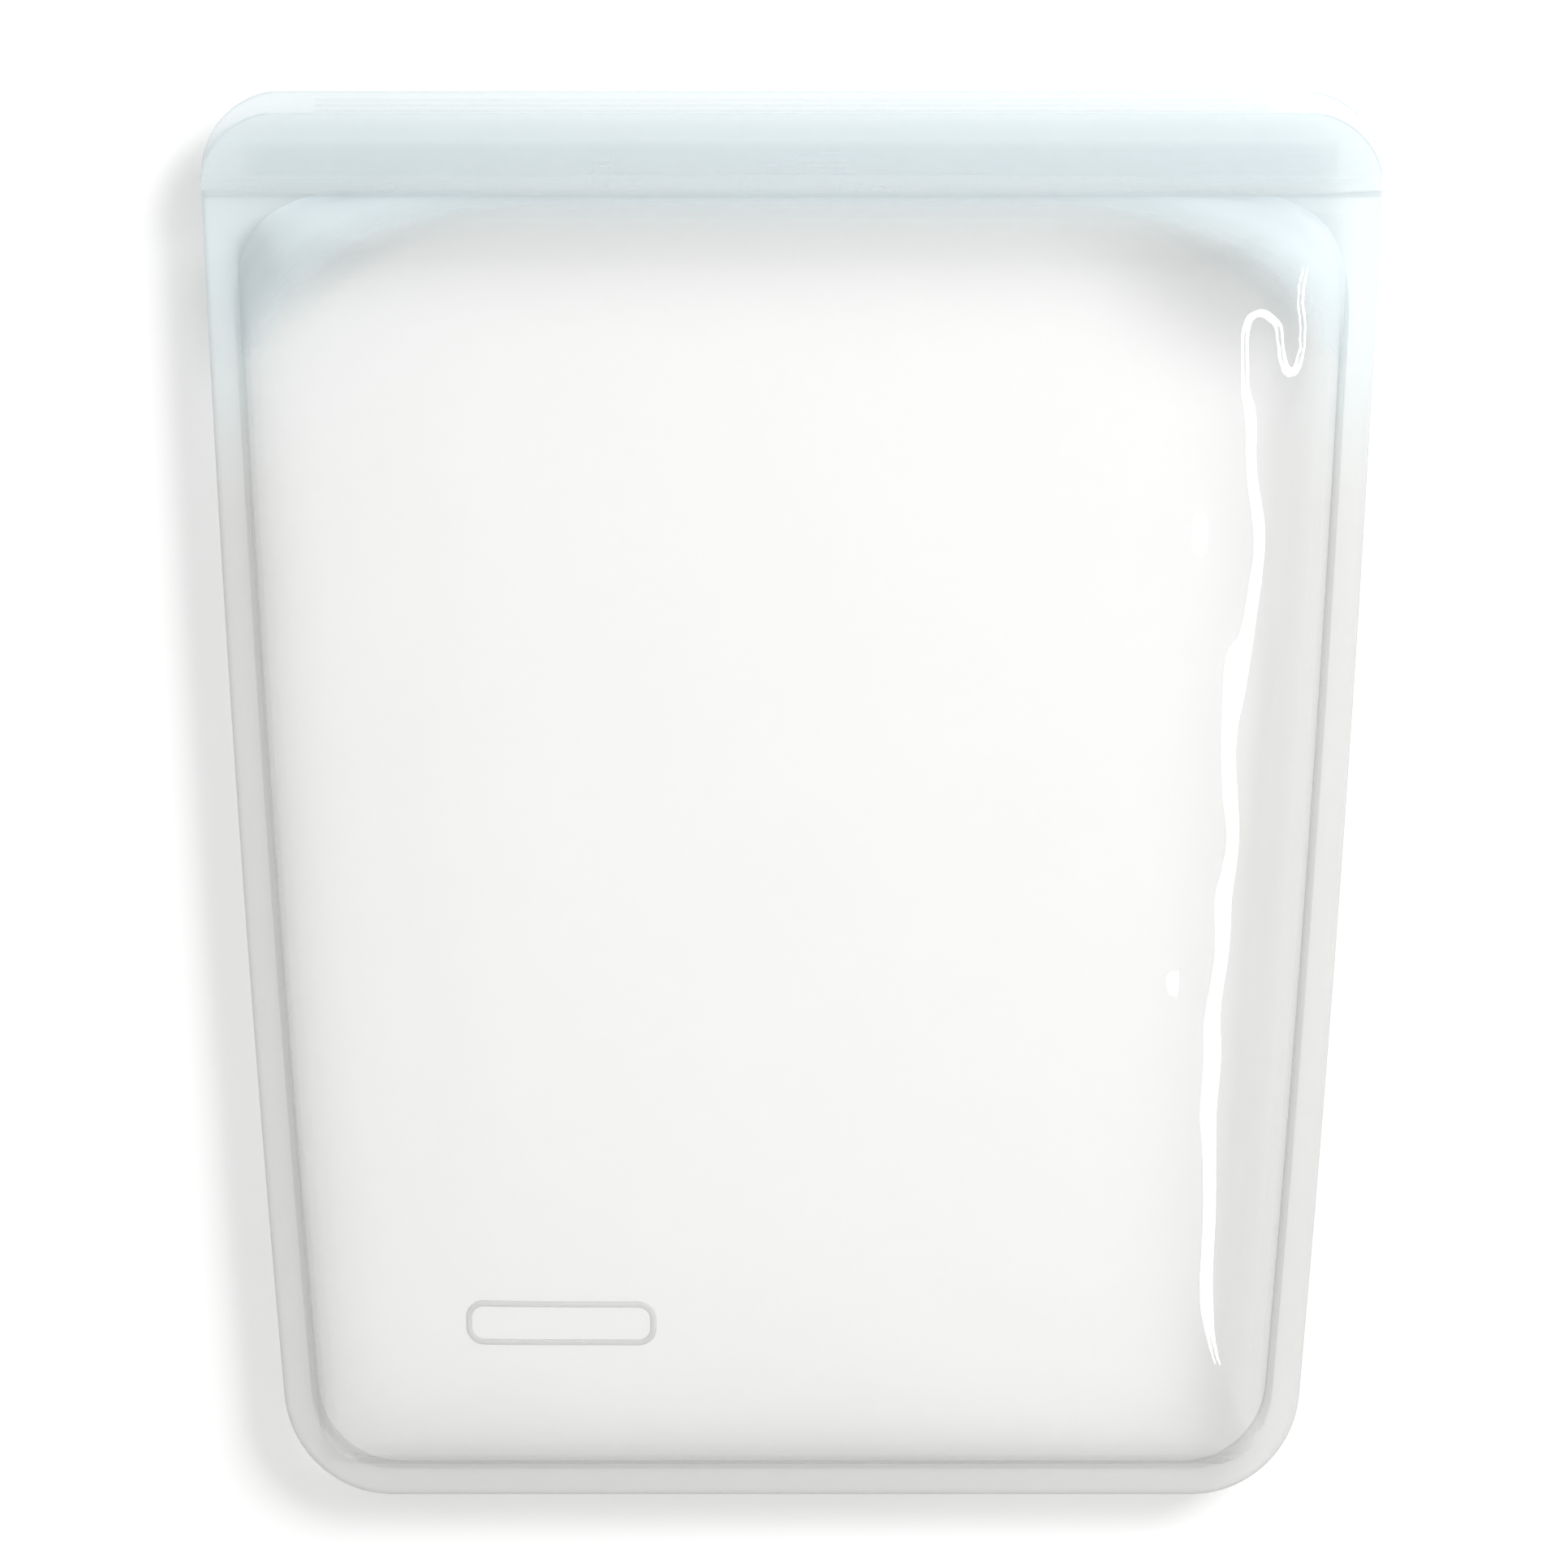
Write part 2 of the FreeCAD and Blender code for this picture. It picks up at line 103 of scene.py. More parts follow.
class BagSizes(bpy.types.PropertyGroup):
    mouth_width: bpy.props.FloatProperty(
        name="Mouth width", description="Across the bag one station above the middle",
        default=209.7 * MM, unit="LENGTH")
    base_width: bpy.props.FloatProperty(
        name="Base width", description="Across the bag one station below the middle",
        default=182.1 * MM, unit="LENGTH")
    station: bpy.props.FloatProperty(
        name="Station", description="Distance from the middle at which the widths are taken",
        default=100 * MM, unit="LENGTH")
    side_bow: bpy.props.FloatProperty(
        name="Side bow", description="How far each side bulges past a straight line",
        default=0.95 * MM, unit="LENGTH")
    mouth_corner: bpy.props.FloatProperty(
        name="Mouth corner", description="Radius of the back lip's corners",
        default=14.5 * MM, unit="LENGTH")
    front_lip_corner: bpy.props.FloatProperty(
        name="Front lip corner", description="Radius of the front lip's corners",
        default=13.4 * MM, unit="LENGTH")
    base_corner: bpy.props.FloatProperty(
        name="Base corner", description="Radius of the corners of the base",
        default=19.5 * MM, unit="LENGTH")
    rim_width: bpy.props.FloatProperty(
        name="Rim width", description="Width of the flat welded rim",
        default=4.8 * MM, unit="LENGTH")
    window_mouth_corner: bpy.props.FloatProperty(
        name="Window mouth corner", description="Radius of the sheets' upper corners",
        default=20 * MM, unit="LENGTH")
    window_base_corner: bpy.props.FloatProperty(
        name="Window base corner", description="Radius of the sheets' lower corners",
        default=15 * MM, unit="LENGTH")
    front_reach: bpy.props.FloatProperty(
        name="Front reach", description="Distance in from the rim at which the front levels off",
        default=46 * MM, unit="LENGTH")
    front_fullness: bpy.props.FloatProperty(
        name="Front fullness", description="Steepness of the front sheet where it leaves the rim",
        default=2.2)
    back_reach: bpy.props.FloatProperty(
        name="Back reach", description="Distance in from the rim at which the back lies flat",
        default=26 * MM, unit="LENGTH")
    back_fullness: bpy.props.FloatProperty(
        name="Back fullness", description="Steepness of the back sheet where it leaves the rim",
        default=2.0)
    wall: bpy.props.FloatProperty(
        name="Wall", description="Thickness of the two sheets",
        default=1.2 * MM, unit="LENGTH")
    lumps: bpy.props.FloatProperty(
        name="Lumps", description="Height of the soft swells in the front sheet",
        default=0.45 * MM, unit="LENGTH")


class BagFinish(bpy.types.PropertyGroup):
    milky: bpy.props.FloatVectorProperty(
        name="Milky silicone", description="Colour of the thick parts", subtype="COLOR",
        default=(0.695, 0.77, 0.79))
    clear: bpy.props.FloatVectorProperty(
        name="Clear silicone", description="Colour of the thin sheets", subtype="COLOR",
        default=(0.66, 0.66, 0.645))
    rim: bpy.props.FloatVectorProperty(
        name="Rim silicone", description="Colour of the welded rim away from the mouth", subtype="COLOR",
        default=(0.60, 0.60, 0.585))
    milky_cover: bpy.props.FloatProperty(
        name="Milky cover", description="How much the thick parts hide on each face",
        default=0.46, min=0, max=1, subtype="FACTOR")
    clear_cover: bpy.props.FloatProperty(
        name="Clear cover", description="How much the thin sheets hide on each face",
        default=0.07, min=0, max=1, subtype="FACTOR")


class BagStage(bpy.types.PropertyGroup):
    view_width: bpy.props.FloatProperty(
        name="View width", description="Width that the camera sees at the rim's height",
        default=279.4 * MM, unit="LENGTH")
    lens: bpy.props.FloatProperty(
        name="Lens", description="Focal length of the camera", default=100, unit="CAMERA")
    view_across: bpy.props.FloatProperty(
        name="View across", description="Where the camera stands across the bag",
        default=-1.4 * MM, unit="LENGTH")
    view_along: bpy.props.FloatProperty(
        name="View along", description="Where the camera stands along the bag",
        default=1.4 * MM, unit="LENGTH")
    sky: bpy.props.FloatProperty(name="Sky", description="Strength of the even light", default=0.78)
    key: bpy.props.FloatProperty(
        name="Key", description="Power of the large soft light", default=7.0, unit="POWER")
    strip: bpy.props.FloatProperty(
        name="Strip", description="Power of the strip seen in the gloss", default=3.4, unit="POWER")


# ---------------------------------------------------------------- the bag's form

def soft_least(a, b):
    """The lesser of two depths, rounded off where they are alike and large."""
    least = np.minimum(a, b)
    spread = np.clip(least * 0.9, 1e-6, 20 * MM)
    near = np.maximum(spread - np.abs(a - b), 0) / spread
    return least - near**2 * spread / 4


class Outline:
    """The bag's outline moved in by an inset: bowed sides, straight ends, four round corners."""

    def __init__(self, sizes, top, base, top_corner, base_corner, inset):
        half_top, half_base = sizes.mouth_width / 2, sizes.base_width / 2
        rise = 2 * sizes.station
        chord = math.hypot(half_top - half_base, rise)
        radius = chord**2 / (8 * sizes.side_bow) + sizes.side_bow / 2
        reach = radius - sizes.side_bow
        self.centre_x = (half_top + half_base) / 2 - reach * rise / chord
        self.centre_y = reach * (half_top - half_base) / chord
        self.radius = radius - inset
        self.top, self.base = top, base
        self.upper = self._corner(top - top_corner, top_corner)
        self.lower = self._corner(base + base_corner, base_corner)

    def _corner(self, y, radius):
        x = math.sqrt((self.radius - radius) ** 2 - (y - self.centre_y) ** 2) + self.centre_x
        turn = math.atan2(y - self.centre_y, x - self.centre_x)
        return {"x": x, "y": y, "r": radius, "turn": turn, "meets": y + radius * math.sin(turn)}

    def side(self, y):
        return np.sqrt(self.radius**2 - (y - self.centre_y) ** 2) + self.centre_x

    def half_width(self, y):
        """Half the width at each y, corners included."""
        y = np.asarray(y, float)
        width = self.side(y)
        for corner, beyond in (
            (self.upper, y > self.upper["meets"]),
            (self.lower, y < self.lower["meets"]),
        ):
            arc = corner["r"] ** 2 - (y - corner["y"]) ** 2
            width = np.where(beyond, corner["x"] + np.sqrt(np.maximum(arc, 0)), width)
        return width

    def rows(self, low, high, step, arc_steps=12):
        """Values of y from low to high, close together where a corner turns."""
        quarter = math.pi / 2
        marks = {low, high}
        upper, lower = self.upper, self.lower
        for share in np.linspace(0, 1, arc_steps):
            marks.add(upper["y"] + upper["r"] * math.sin(upper["turn"] + share * (quarter - upper["turn"])))
            marks.add(lower["y"] - lower["r"] * math.sin(-lower["turn"] + share * (quarter + lower["turn"])))
        start, stop = max(low, lower["meets"]), min(high, upper["meets"])
        if stop > start:
            marks.update(np.linspace(start, stop, max(2, int((stop - start) / step) + 1)))
        kept = []
        for y in sorted(mark for mark in marks if low - 1e-9 <= mark <= high + 1e-9):
            if not kept or y - kept[-1] > 0.02 * MM:
                kept.append(y)
        return np.array(kept)

    def depth(self, x, y):
        """How far in each point is from the nearest side or end. The corner arcs are not followed."""
        side = self.radius - np.hypot(np.abs(x) - self.centre_x, y - self.centre_y)
        inner = soft_least(side, soft_least(self.top - y, y - self.base))
        return np.maximum(inner, 0)


def outer_outline(sizes):
    half_length = BACK_LIP_BOX[1].y
    return Outline(sizes, half_length, -half_length, sizes.mouth_corner, sizes.base_corner, 0)


def window_outline(sizes, inset=0.0):
    return Outline(
        sizes, WINDOW_TOP - inset, WINDOW_BASE + inset,
        sizes.window_mouth_corner, sizes.window_base_corner, sizes.rim_width + inset,
    )


def rise_share(depth, reach, fullness):
    return 1 - (1 - np.minimum(depth / reach, 1)) ** fullness


def swell(x, y):
    """Soft uneven swells, from -1 to 1."""
    return np.array([
        noise.noise(Vector((a * 38, b * 30, 3.7))) + 0.5 * noise.noise(Vector((a * 85, b * 70, 9.1)))
        for a, b in zip(np.ravel(x), np.ravel(y))
    ]).reshape(np.shape(x))


# Over what distance the soft swells fade out towards the rim, and towards the mouth.
LUMPS_FADE_IN = 18 * MM
LUMPS_FADE_TO_MOUTH = 20 * MM

# Small creases in the front sheet: place across and along, width and length in mm, and slope.
CREASES = (
    (80, 80, 4.8, 6.2, 0.34), (88.5, 81, 3.2, 6.8, -0.29), (83, 60, 3, 5, 0.06), (82, 42, 3, 7, -0.07),
    (77, 10, 3, 9, 0.05), (74, -96, 6, 16, -0.10), (70.5, 45, 3.4, 6, 0.33), (62, -14, 2.2, 2.5, 0.46),
    (66, -33, 2.1, 3.6, 0.33),
)


def front_height(sizes, x, y):
    """Height of the front sheet's outside."""
    depth = window_outline(sizes).depth(x, y)
    height = RIM_HEIGHT + (CROWN - RIM_HEIGHT) * rise_share(depth, sizes.front_reach, sizes.front_fullness)
    within = np.clip(depth / LUMPS_FADE_IN, 0, 1) * np.clip((HINGE_LINE - y) / LUMPS_FADE_TO_MOUTH, 0, 1)
    for across, along, width, length, slope in CREASES:
        u, v = (x - across * MM) / (width * MM), (y - along * MM) / (length * MM)
        height = height - slope * width * MM * u * np.exp(-(u**2 + v**2) / 2)
    return height + sizes.lumps * (swell(x, y) - 0.6) * within


def back_height(sizes, x, y):
    """Height of the back sheet's outside."""
    depth = window_outline(sizes).depth(x, y)
    share = rise_share(depth, sizes.back_reach, sizes.back_fullness)
    return RIM_HEIGHT + (RESTING_HEIGHT - RIM_HEIGHT) * share


def sheet_milk(sizes, x, y):
    """1 in the thick milky corners beside the mouth, fading to 0 in the clear window."""
    side = window_outline(sizes).side(y)
    u = np.maximum(np.abs(x) - (side - MILKY_ACROSS), 0) / MILKY_ACROSS
    v = np.maximum(y - (WINDOW_TOP - MILKY_ALONG), 0) / MILKY_ALONG
    ring = np.hypot(u, v)
    corner = 1.2 * np.clip((ring - 0.86) / 0.20, 0, 1) * np.clip(v / 0.2, 0, 1)
    edge = np.clip(1 - window_outline(sizes).depth(x, y) / MILKY_EDGE, 0, 1)
    return np.maximum(corner, 0.6 * edge**1.8)


# ---------------------------------------------------------------- meshes

def make_object(name, vertices, faces, sharp=math.radians(40)):
    mesh = bpy.data.meshes.new(name)
    mesh.from_pydata([tuple(v) for v in vertices], [], faces)
    form = bmesh.new()
    form.from_mesh(mesh)
    bmesh.ops.remove_doubles(form, verts=form.verts, dist=0.002 * MM)
    bmesh.ops.dissolve_degenerate(form, edges=form.edges, dist=0.002 * MM)
    if len(faces) > 1:
        bmesh.ops.recalc_face_normals(form, faces=form.faces)
    form.to_mesh(mesh)
    form.free()
    mesh.polygons.foreach_set("use_smooth", [True] * len(mesh.polygons))
    mesh.set_sharp_from_angle(angle=sharp)
    made = bpy.data.objects.new(name, mesh)
    bpy.context.scene.collection.objects.link(made)
    return made


def grid_normals(points):
    along = np.gradient(points, axis=1)
    up = np.gradient(points, axis=0)
    normals = np.cross(along, up)
    return normals / np.maximum(np.linalg.norm(normals, axis=2, keepdims=True), 1e-12)


def under_face(outside, wall, cut_row):
    """The inner face of a sheet. At the cut row it lies straight below, so that the cut is upright."""
    normals = grid_normals(outside)
    inside = outside - normals * wall
    inside[cut_row] = outside[cut_row]
    inside[cut_row, :, 2] -= wall / normals[cut_row, :, 2]
    return inside


def grid_faces(rows, columns, first=0, flip=False):
    faces = []
    for r in range(rows - 1):
        for c in range(columns - 1):
            a = first + r * columns + c
            quad = [a, a + 1, a + columns + 1, a + columns]
            faces.append(quad[::-1] if flip else quad)
    return faces


def border(rows, columns):
    """Indices round a grid, anticlockwise."""
    low = list(range(columns))
    right = [r * columns + columns - 1 for r in range(1, rows)]
    high = [(rows - 1) * columns + c for c in range(columns - 2, -1, -1)]
    left = [r * columns for r in range(rows - 2, 0, -1)]
    return low + right + high + left


def shell(name, outside, inside):
    """A closed sheet between two grids."""
    rows, columns = outside.shape[:2]
    count = rows * columns
    faces = grid_faces(rows, columns) + grid_faces(rows, columns, count, flip=True)
    edge = border(rows, columns)
    for a, b in zip(edge, edge[1:] + edge[:1]):
        faces.append([a, a + count, b + count, b])
    return make_object(name, np.vstack([outside.reshape(-1, 3), inside.reshape(-1, 3)]), faces)


def set_milk(piece, values):
    """Stores how milky each point is, and how cool it looks towards the mouth."""
    along = places(piece)[:, 1]
    cool = np.clip((along - COOL_FROM) / COOL_OVER, 0, 1)
    for name, numbers in (("milk", values), ("cool", cool**2 * (3 - 2 * cool))):
        attribute = piece.data.attributes.new(name, "FLOAT", "POINT")
        attribute.data.foreach_set("value", np.asarray(numbers, np.float32))


def set_even_milk(piece, value):
    set_milk(piece, np.full(len(piece.data.vertices), value))


def places(piece):
    flat = np.zeros(len(piece.data.vertices) * 3, np.float32)
    piece.data.vertices.foreach_get("co", flat)
    return flat.reshape(-1, 3).astype(float)


def sheet_grid(outline, rows, shares, height):
    """Points on rows of y, each row spread across the outline by shares from -1 to 1."""
    y = np.repeat(rows[:, None], len(shares), axis=1)
    x = outline.half_width(rows)[:, None] * shares[None, :]
    return np.dstack([x, y, height(x, y)])


def edge_shares(count, crowd=0.6):
    """Values from -1 to 1, closer together at both ends."""
    even = np.linspace(-1, 1, count)
    return (1 - crowd) * even + crowd * np.sin(even * math.pi / 2)


def tube(name, rings, closed):
    """A mesh through equal rings of points, closed into a loop or capped at both ends."""
    rings = np.asarray(rings)
    count, around = rings.shape[:2]
    faces = []
    for r in range(count if closed else count - 1):
        following = (r + 1) % count
        for k in range(around):
            step = (k + 1) % around
            faces.append([
                r * around + k, following * around + k, following * around + step, r * around + step,
            ])
    if not closed:
        faces.append(list(range(around)))
        faces.append([(count - 1) * around + k for k in range(around)][::-1])
    return make_object(name, rings.reshape(-1, 3), faces)


# ---------------------------------------------------------------- finishes

class Signal:
    """A shader socket on which Python's arithmetic makes Math nodes."""

    def __init__(self, finish, socket):
        self.finish, self.socket = finish, socket

    def _math(self, operation, *values, clamp=False):
        return self.finish.node(
            "ShaderNodeMath", {"operation": operation, "use_clamp": clamp}, dict(enumerate(values))
        )

    def __add__(self, other):
        return self._math("ADD", self, other)

    __radd__ = __add__

    def __sub__(self, other):
        return self._math("SUBTRACT", self, other)

    def __rsub__(self, other):
        return self._math("SUBTRACT", other, self)

    def __mul__(self, other):
        return self._math("MULTIPLY", self, other)

    __rmul__ = __mul__

    def __pow__(self, other):
        return self._math("POWER", self, other)

    def clamped(self):
        return self._math("ADD", self, 0.0, clamp=True)


class Finish:
    """A material whose nodes are made one call at a time."""

    def __init__(self, name):
        self.material = bpy.data.materials.new(name)
        self.material.use_nodes = True
        self.tree = self.material.node_tree
        self.tree.nodes.clear()

    def node(self, kind, settings=None, sockets=None, output=0):
        made = self.tree.nodes.new(kind)
        for key, value in (settings or {}).items():
            if key == "stops":
                for index, (place, colour) in enumerate(value):
                    stops = made.color_ramp.elements
                    stop = stops[index] if index < len(stops) else stops.new(place)
                    stop.position, stop.color = place, (*colour, 1)
            else:
                setattr(made, key, value)
        for key, value in (sockets or {}).items():
            if isinstance(value, Signal):
                self.tree.links.new(value.socket, made.inputs[key])
            else:
                made.inputs[key].default_value = value
        return Signal(self, made.outputs[output])

    def mix(self, share, first, second):
        """A colour between two colours."""
        return self.node(
            "ShaderNodeMix", {"data_type": "RGBA"}, {0: share, 6: first, 7: second}, output=2
        )

    def surface(self, shader):
        end = self.tree.nodes.new("ShaderNodeOutputMaterial")
        self.tree.links.new(shader.socket, end.inputs["Surface"])
        return self.material


def rgba(colour):
    return (*colour, 1.0)


def silicone_finish(name, colours, gloss, edge_cover_and_sheen):
    """Soft silicone: clear where the milk attribute is 0, milky where it is 1, and denser seen edge on,
    partly as a thick sheet is and partly as painted sheen standing in for the reflection at grazing angles.
    """
    finish = Finish(name)
    place = finish.node("ShaderNodeTexCoord", output=3)
    milk = finish.node("ShaderNodeAttribute", {"attribute_name": "milk"}, output=2)
    facing = finish.node("ShaderNodeLayerWeight", None, {"Blend": 0.5}, output=1)
    clouds = finish.node(
        "ShaderNodeTexNoise", None, {"Vector": place, "Scale": 34.0, "Detail": 3.0, "Roughness": 0.55}
    )
    grain = finish.node(
        "ShaderNodeTexNoise", None, {"Vector": place, "Scale": 900.0, "Detail": 2.0, "Roughness": 0.6}
    )
    cover = colours.clear_cover + milk * (colours.milky_cover - colours.clear_cover)
    uneven = 0.82 + 0.36 * clouds
    # Seen edge on the body colour covers more: partly the longer path through the sheet, partly painted
    # sheen standing in for the white reflection at grazing angles.
    alpha = (cover * uneven + facing ** 3.0 * (edge_cover_and_sheen * (1 + 0.88 * milk))).clamped()
    cool = finish.node("ShaderNodeAttribute", {"attribute_name": "cool"}, output=2)
    thick = finish.mix(cool, rgba(colours.rim), rgba(colours.milky))
    body = finish.mix((milk * 2.0).clamped(), rgba(colours.clear), thick)
    tinted = finish.mix(clouds * 0.15, body, rgba((0.90, 0.93, 0.94)))
    bump = finish.node(
        "ShaderNodeBump", None, {"Strength": 0.10, "Distance": 0.00008, "Height": grain + clouds * 2.0}
    )
    roughness = 0.20 + milk * 0.32 + grain * 0.05
    shader = finish.node("ShaderNodeBsdfPrincipled", None, {
        "Base Color": tinted, "Roughness": roughness, "IOR": 1.41, "Alpha": alpha, "Normal": bump,
        "Specular IOR Level": 0.3, "Coat Weight": (gloss - milk).clamped(), "Coat Roughness": 0.02,
        "Coat IOR": 3.0,
    })
    return finish.surface(shader)


def cut_finish(name):
    finish = Finish(name)
    return finish.surface(finish.node("ShaderNodeBsdfPrincipled", None, {"Alpha": 0.0}))


def floor_finish(name):
    finish = Finish(name)
    place = finish.node("ShaderNodeTexCoord", output=3)
    clouds = finish.node("ShaderNodeTexNoise", None, {"Vector": place, "Scale": 6.0, "Detail": 2.0})
    colour = finish.mix(clouds * 0.1, rgba((0.93, 0.93, 0.925)), rgba((0.90, 0.90, 0.895)))
    return finish.surface(finish.node(
        "ShaderNodeBsdfPrincipled", None,
        {"Base Color": colour, "Roughness": 0.9, "Specular IOR Level": 0.1},
    ))


def shared_finish(name, make, *values):
    """A material by name, made the first time it is asked for."""
    return bpy.data.materials.get(name) or make(name, *values)


# How glossy each finish is, and how much it hides where it is seen edge on, partly as a thick sheet does and
# partly as painted sheen standing in for the reflection at grazing angles.
FINISHES = {"glossy_silicone": (1.0, 0.34), "matte_silicone": (0.0, 0.34), "buried_silicone": (0.0, 0.10)}


def dress(piece, finish_name):
    colours = bpy.context.scene.bag_finish
    piece.data.materials.clear()
    piece.data.materials.append(
        shared_finish(finish_name, silicone_finish, colours, *FINISHES[finish_name]))


def hide_cuts(piece, line):
    """Gives the cut faces, where one zone goes on as the next piece, a finish that doesn't show."""
    piece.data.materials.append(shared_finish("cut_face", cut_finish))
    for face in piece.data.polygons:
        centre, normal = face.center, face.normal
        across = abs(centre.x) < 0.01 * MM and abs(normal.x) > 0.9
        along = abs(centre.y - line) < 0.01 * MM and abs(normal.y) > 0.9
        if across or along:
            face.material_index = 1


# ---------------------------------------------------------------- pieces

class BAG_OT_back_sheet(bpy.types.Operator):
    """The thin sheet that the bag lies on, flat in the middle and curved up to the rim"""

    bl_idname = "bag.back_sheet"
    bl_label = "Back sheet"

    def execute(self, context):
        sizes = context.scene.bag_sizes
        outline = window_outline(sizes)
        rows = outline.rows(WINDOW_BASE, WINDOW_TOP, 3 * MM)

        def height(x, y):
            return back_height(sizes, x, y)

        outside = sheet_grid(outline, rows, edge_shares(70), height)
        inside = outside + grid_normals(outside) * sizes.wall
        inside[..., 2] = np.minimum(inside[..., 2], RIM_HEIGHT - 0.1 * MM)
        piece = shell("back_sheet", inside, outside)
        spots = places(piece)
        set_milk(piece, 0.8 * sheet_milk(sizes, spots[:, 0], spots[:, 1]))
        dress(piece, "matte_silicone")
        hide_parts("back_wall")
        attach(piece, "pouch")
        return {"FINISHED"}


class BAG_OT_front_sheet(bpy.types.Operator):
    """The clear sheet on top, swelled by what it holds"""

    bl_idname = "bag.front_sheet"
    bl_label = "Front sheet"

    def execute(self, context):
        sizes = context.scene.bag_sizes
        outline = window_outline(sizes)
        rows = outline.rows(WINDOW_BASE, HINGE_LINE, 1.3 * MM)

        def height(x, y):
            return front_height(sizes, x, y)

        outside = sheet_grid(outline, rows, edge_shares(171), height)
        inside = under_face(outside, sizes.wall, -1)
        piece = shell("front_sheet", outside, inside)
        spots = places(piece)
        set_milk(piece, sheet_milk(sizes, spots[:, 0], spots[:, 1]))
        dress(piece, "glossy_silicone")
        hide_cuts(piece, HINGE_LINE)
        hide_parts("front_wall")
        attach(piece, "pouch")
        return {"FINISHED"}


def lift_with_mouth(piece, side):
    """Meant for a mouth whose seam ends hold down and whose middle lifts; it only bakes the piece's
    placement into its mesh, and the seam end it works out is not used.
    """
    end = window_reach(HINGE_LINE) * side
    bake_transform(piece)


def window_reach(y):
    return float(window_outline(bpy.context.scene.bag_sizes).half_width(y))


class BAG_OT_throat(bpy.types.Operator):
    """The last stretch of the front sheet below the seal, in two halves"""

    bl_idname = "bag.throat"
    bl_label = "Throat"

    def execute(self, context):
        sizes = context.scene.bag_sizes
        outline = window_outline(sizes)
        rows = outline.rows(HINGE_LINE, WINDOW_TOP, 1.2 * MM)
        whole = edge_shares(171)

        def height(x, y):
            return front_height(sizes, x, y)

        for side, word, shares in ((-1, "left", whole[:86]), (1, "right", whole[85:])):
            outside = sheet_grid(outline, rows, shares, height)
            inside = under_face(outside, sizes.wall, 0)
            piece = shell(f"throat_{word}", outside, inside)
            spots = places(piece)
            milk = sheet_milk(sizes, spots[:, 0], spots[:, 1])
            near_seal = np.clip((spots[:, 1] - (WINDOW_TOP - 3 * MM)) / (3 * MM), 0, 1)
            set_milk(piece, np.maximum(milk, 0.5 * near_seal))
            dress(piece, "glossy_silicone")
            hide_cuts(piece, HINGE_LINE)
            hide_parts("front_throat")
            lift_with_mouth(piece, side)
        return {"FINISHED"}


